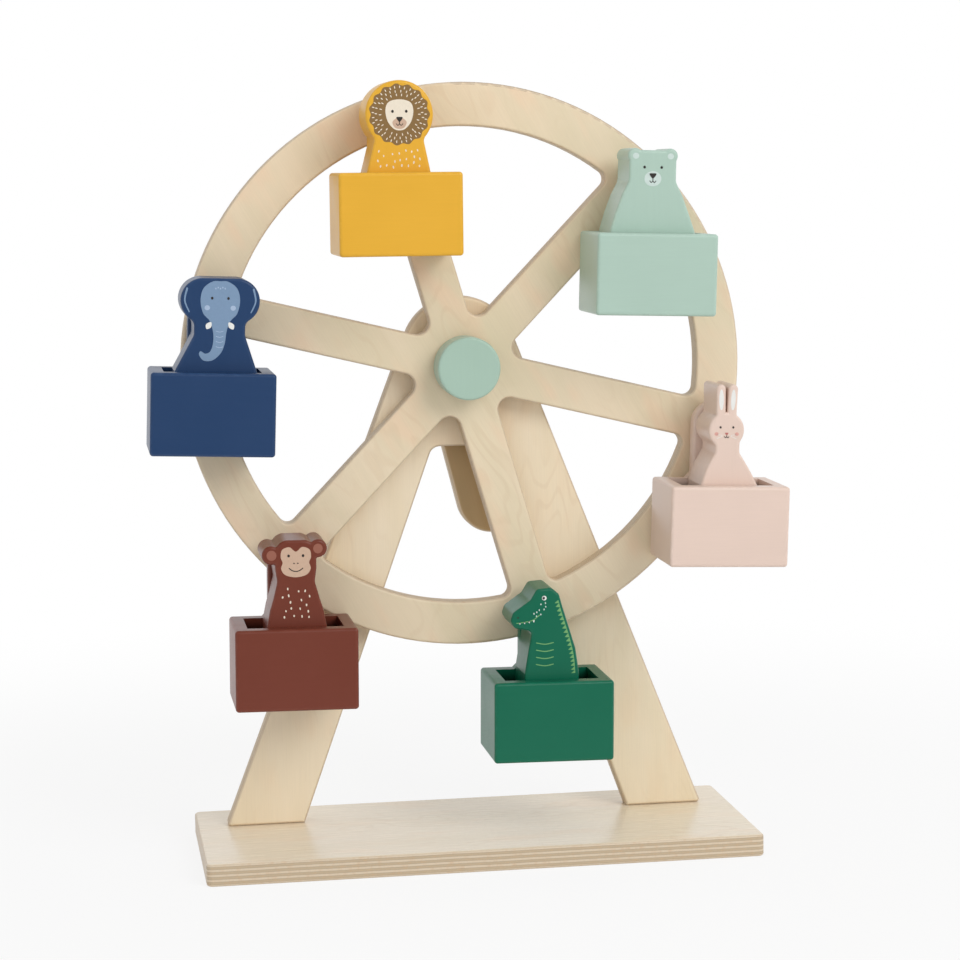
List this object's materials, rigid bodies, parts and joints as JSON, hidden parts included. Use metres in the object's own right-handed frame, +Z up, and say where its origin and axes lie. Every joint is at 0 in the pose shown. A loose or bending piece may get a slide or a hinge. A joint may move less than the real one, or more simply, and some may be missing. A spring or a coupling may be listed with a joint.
{
  "type": "hand-cranked ferris wheel toy",
  "caption": "Hand-cranked wooden ferris wheel toy: a spoked ply wheel on an A-shaped stand carries box cabins with lift-out animals.",
  "frame": {"origin": "middle of the base board's underside", "axes": "+Z up, +X to the right of a viewer in front of the wheel, -Y towards that viewer, and the crank on the +Y side"},
  "size_m": [0.3408, 0.1427, 0.4172],
  "materials": {
    "arm_ply": "clear-varnished birch plywood",
    "base_ply": "clear-varnished birch plywood, flat grain on the faces and plies on the edges",
    "dowel_beech": "oiled beech dowel",
    "figure_brown": "wood under satin brown paint with a printed face",
    "figure_green": "wood under satin green paint with a printed face",
    "figure_mint": "wood under satin mint paint with a printed face",
    "figure_navy": "wood under satin navy paint with a printed face",
    "figure_pink": "wood under satin pink paint with a printed face",
    "figure_yellow": "wood under satin yellow paint with a printed face",
    "paint_brown": "wood under satin brown paint",
    "paint_green": "wood under satin green paint",
    "paint_hub": "wood under satin mint paint",
    "paint_knob": "wood under satin mint paint",
    "paint_mint": "wood under satin mint paint",
    "paint_navy": "wood under satin navy paint",
    "paint_pink": "wood under satin pink paint",
    "paint_yellow": "wood under satin yellow paint",
    "peg_beech": "oiled beech peg",
    "screw_steel": "zinc-plated steel",
    "stand_ply": "clear-varnished birch plywood",
    "steel": "zinc-plated steel",
    "washer_steel": "zinc-plated steel",
    "wheel_ply": "clear-varnished birch plywood"
  },
  "bodies": {
    "stand": {"base_board": "base_ply", "stand_frame": "stand_ply", "stand_screws": "screw_steel", "wheel_washer": "washer_steel", "crank_washer": "washer_steel"},
    "wheel": {"wheel": "wheel_ply", "axle": "dowel_beech", "hub_cap": "paint_hub", "hub_washer": "washer_steel", "crank_arm": "arm_ply", "crank_pin": "steel", "bear_peg": "peg_beech", "lion_peg": "peg_beech", "elephant_peg": "peg_beech", "monkey_peg": "peg_beech", "crocodile_peg": "peg_beech", "rabbit_peg": "peg_beech", "bear_washer": "washer_steel", "lion_washer": "washer_steel", "elephant_washer": "washer_steel", "monkey_washer": "washer_steel", "crocodile_washer": "washer_steel", "rabbit_washer": "washer_steel"},
    "crank_knob": {"crank_knob": "paint_knob"},
    "bear_cabin": {"bear_cabin": "paint_mint", "bear_hanger": "paint_mint"},
    "bear_figure": {"bear_figure": "figure_mint"},
    "lion_cabin": {"lion_cabin": "paint_yellow", "lion_hanger": "paint_yellow"},
    "lion_figure": {"lion_figure": "figure_yellow"},
    "elephant_cabin": {"elephant_cabin": "paint_navy", "elephant_hanger": "paint_navy"},
    "elephant_figure": {"elephant_figure": "figure_navy"},
    "monkey_cabin": {"monkey_cabin": "paint_brown", "monkey_hanger": "paint_brown"},
    "monkey_figure": {"monkey_figure": "figure_brown"},
    "crocodile_cabin": {"crocodile_cabin": "paint_green", "crocodile_hanger": "paint_green"},
    "crocodile_figure": {"crocodile_figure": "figure_green"},
    "rabbit_cabin": {"rabbit_cabin": "paint_pink", "rabbit_hanger": "paint_pink"},
    "rabbit_figure": {"rabbit_figure": "figure_pink"}
  },
  "joints": [
    {"name": "wheel_spin", "type": "hinge", "parent": "stand", "child": "wheel", "pos_m": [0, 0, 0.26425], "axis": [0, -1, 0], "continuous": true},
    {"name": "knob_spin", "type": "hinge", "parent": "wheel", "child": "crank_knob", "pos_m": [0.01911, 0.0833, 0.1876], "axis": [0, -1, 0], "continuous": true},
    {"name": "bear_level", "type": "hinge", "parent": "wheel", "child": "bear_cabin", "pos_m": [0.09812, 0.0029, 0.36586], "axis": [0, -1, 0], "continuous": true},
    {"name": "bear_lift", "type": "slide", "parent": "bear_cabin", "child": "bear_figure", "axis": [0.0349, 0, 0.9994], "range_m": [0, 0.038]},
    {"name": "lion_level", "type": "hinge", "parent": "wheel", "child": "lion_cabin", "pos_m": [-0.03893, 0.0029, 0.40003], "axis": [0, -1, 0], "continuous": true},
    {"name": "lion_lift", "type": "slide", "parent": "lion_cabin", "child": "lion_figure", "axis": [0.0052, 0, 1], "range_m": [0, 0.038]},
    {"name": "elephant_level", "type": "hinge", "parent": "wheel", "child": "elephant_cabin", "pos_m": [-0.13705, 0.0029, 0.29842], "axis": [0, -1, 0], "continuous": true},
    {"name": "elephant_lift", "type": "slide", "parent": "elephant_cabin", "child": "elephant_figure", "axis": [0.0419, 0, 0.9991], "range_m": [0, 0.038]},
    {"name": "monkey_level", "type": "hinge", "parent": "wheel", "child": "monkey_cabin", "pos_m": [-0.09812, 0.0029, 0.16264], "axis": [0, -1, 0], "continuous": true},
    {"name": "monkey_lift", "type": "slide", "parent": "monkey_cabin", "child": "monkey_figure", "axis": [0.014, 0, 0.9999], "range_m": [0, 0.038]},
    {"name": "crocodile_level", "type": "hinge", "parent": "wheel", "child": "crocodile_cabin", "pos_m": [0.03893, 0.0029, 0.12847], "axis": [0, -1, 0], "continuous": true},
    {"name": "crocodile_lift", "type": "slide", "parent": "crocodile_cabin", "child": "crocodile_figure", "axis": [0.0157, 0, 0.9999], "range_m": [0, 0.038]},
    {"name": "rabbit_level", "type": "hinge", "parent": "wheel", "child": "rabbit_cabin", "pos_m": [0.13705, 0.0029, 0.23008], "axis": [0, -1, 0], "continuous": true},
    {"name": "rabbit_lift", "type": "slide", "parent": "rabbit_cabin", "child": "rabbit_figure", "axis": [0.0384, 0, 0.9993], "range_m": [0, 0.038]}
  ],
  "couplings": [
    {"joint": "bear_level", "follows": "wheel_spin", "ratio": -1},
    {"joint": "lion_level", "follows": "wheel_spin", "ratio": -1},
    {"joint": "elephant_level", "follows": "wheel_spin", "ratio": -1},
    {"joint": "monkey_level", "follows": "wheel_spin", "ratio": -1},
    {"joint": "crocodile_level", "follows": "wheel_spin", "ratio": -1},
    {"joint": "rabbit_level", "follows": "wheel_spin", "ratio": -1}
  ]
}
